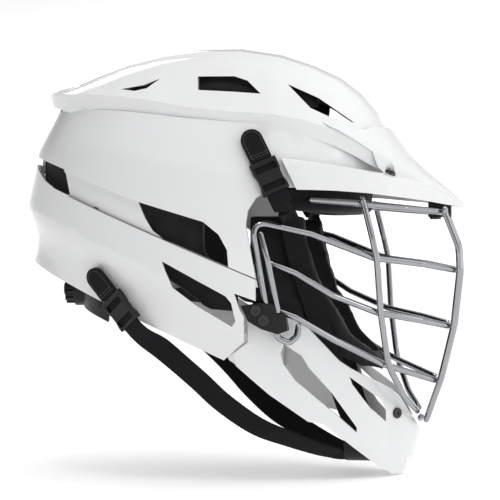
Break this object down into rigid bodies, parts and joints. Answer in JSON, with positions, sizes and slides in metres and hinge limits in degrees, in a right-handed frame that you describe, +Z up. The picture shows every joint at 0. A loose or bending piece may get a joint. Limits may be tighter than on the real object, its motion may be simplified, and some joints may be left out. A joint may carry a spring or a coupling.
{
  "type": "lacrosse helmet",
  "caption": "Hard two-piece sports helmet with a peaked visor, pointed chin guard, welded wire face guard, padded liner, fit dial and chin strap.",
  "frame": {"origin": "midway between the wearer's ear canals, inside the head cavity", "axes": "+X forward, +Y to the wearer's left, +Z up"},
  "size_m": [0.3345, 0.215, 0.3225],
  "materials": {
    "shell_white": "smooth high gloss",
    "wire_chrome": "polished chrome plate",
    "webbing_black": "woven webbing",
    "foam_black": "matt closed-cell foam",
    "plastic_black": "satin moulded plastic",
    "screw_black": "black oxide",
    "stud_steel": "brushed"
  },
  "bodies": {
    "helmet": {"upper_shell": "shell_white", "lower_shell": "shell_white", "visor": "shell_white", "chin_guard": "shell_white", "cage_brow_bar": "wire_chrome", "cage_eye_bar": "wire_chrome", "cage_nose_bar": "wire_chrome", "cage_mouth_bar": "wire_chrome", "cage_cheek_uprights": "wire_chrome", "cage_front_uprights": "wire_chrome", "cage_rear_uprights": "wire_chrome", "cage_jaw_loops": "wire_chrome", "cage_chin_bar": "wire_chrome", "side_clip_right": "plastic_black", "side_clip_left": "plastic_black", "brow_clips": "plastic_black", "chin_clips": "plastic_black", "upper_stud_right": "stud_steel", "upper_stud_left": "stud_steel", "lower_stud_right": "stud_steel", "lower_stud_left": "stud_steel", "upper_strap_right": "webbing_black", "upper_strap_left": "webbing_black", "lower_strap_right": "webbing_black", "lower_strap_left": "webbing_black", "liner_side_right": "foam_black", "liner_side_left": "foam_black", "liner_rear": "foam_black", "liner_front": "foam_black", "brow_pad": "foam_black", "liner_crown": "foam_black", "liner_crown_flanks": "foam_black", "jaw_pad_right": "foam_black", "jaw_pad_left": "foam_black", "fit_band_right": "plastic_black", "fit_band_left": "plastic_black", "visor_screws": "screw_black", "nose_screws": "screw_black", "shell_screws": "screw_black", "clip_screws": "screw_black", "brow_clip_screws": "screw_black"},
    "cradle": {"fit_cradle": "plastic_black", "cradle_pad": "foam_black", "dial_housing": "plastic_black", "dial_axle": "screw_black", "dial_screw": "plastic_black"},
    "dial": {"fit_dial": "plastic_black"},
    "chin_cup": {"chin_cup": "plastic_black", "chin_cup_pad": "foam_black"},
    "upper_tab_right": {"upper_tab_right": "plastic_black"},
    "upper_glide_right": {"upper_glide_right": "plastic_black"},
    "upper_tab_left": {"upper_tab_left": "plastic_black"},
    "upper_glide_left": {"upper_glide_left": "plastic_black"},
    "lower_tab_right": {"lower_tab_right": "plastic_black"},
    "lower_glide_right": {"lower_glide_right": "plastic_black"},
    "lower_tab_left": {"lower_tab_left": "plastic_black"},
    "lower_glide_left": {"lower_glide_left": "plastic_black"}
  },
  "joints": [
    {"name": "cradle_slide", "type": "slide", "parent": "helmet", "child": "cradle", "axis": [1, 0, 0], "range_m": [0, 0.012], "deforming": ["fit_band_right", "fit_band_left"]},
    {"name": "dial_turn", "type": "hinge", "parent": "cradle", "child": "dial", "pos_m": [-0.1013, 0, -0.03], "axis": [-1, 0, 0], "range_deg": [0, 270]},
    {"name": "cup_shift", "type": "slide", "parent": "helmet", "child": "chin_cup", "axis": [1, 0, 0], "range_m": [-0.008, 0], "deforming": ["upper_strap_right", "upper_strap_left", "lower_strap_right", "lower_strap_left"]},
    {"name": "upper_tab_right_turn", "type": "hinge", "parent": "helmet", "child": "upper_tab_right", "pos_m": [0.05258, -0.09019, 0.07784], "axis": [0.2105, -0.9473, 0.2416], "range_deg": [-4, 4], "deforming": ["upper_strap_right"]},
    {"name": "upper_glide_right_slide", "type": "slide", "parent": "upper_tab_right", "child": "upper_glide_right", "axis": [0.4436, -0.1277, -0.8871], "range_m": [0, 0.005], "deforming": ["upper_strap_right"]},
    {"name": "upper_tab_left_turn", "type": "hinge", "parent": "helmet", "child": "upper_tab_left", "pos_m": [0.05258, 0.09019, 0.07784], "axis": [0.2105, 0.9473, 0.2416], "range_deg": [-4, 4], "deforming": ["upper_strap_left"]},
    {"name": "upper_glide_left_slide", "type": "slide", "parent": "upper_tab_left", "child": "upper_glide_left", "axis": [0.4436, 0.1277, -0.8871], "range_m": [0, 0.005], "deforming": ["upper_strap_left"]},
    {"name": "lower_tab_right_turn", "type": "hinge", "parent": "helmet", "child": "lower_tab_right", "pos_m": [-0.05796, -0.08981, -0.01921], "axis": [-0.4234, -0.8665, -0.2645], "range_deg": [-4, 4], "deforming": ["lower_strap_right"]},
    {"name": "lower_glide_right_slide", "type": "slide", "parent": "lower_tab_right", "child": "lower_glide_right", "axis": [0.6282, -0.0704, -0.7748], "range_m": [0, 0.005], "deforming": ["lower_strap_right"]},
    {"name": "lower_tab_left_turn", "type": "hinge", "parent": "helmet", "child": "lower_tab_left", "pos_m": [-0.05796, 0.08981, -0.01921], "axis": [-0.4234, 0.8665, -0.2645], "range_deg": [-4, 4], "deforming": ["lower_strap_left"]},
    {"name": "lower_glide_left_slide", "type": "slide", "parent": "lower_tab_left", "child": "lower_glide_left", "axis": [0.6282, 0.0704, -0.7748], "range_m": [0, 0.005], "deforming": ["lower_strap_left"]}
  ],
  "couplings": [
    {"joint": "dial_turn", "follows": "cradle_slide", "rad_per_m": 392.69}
  ]
}
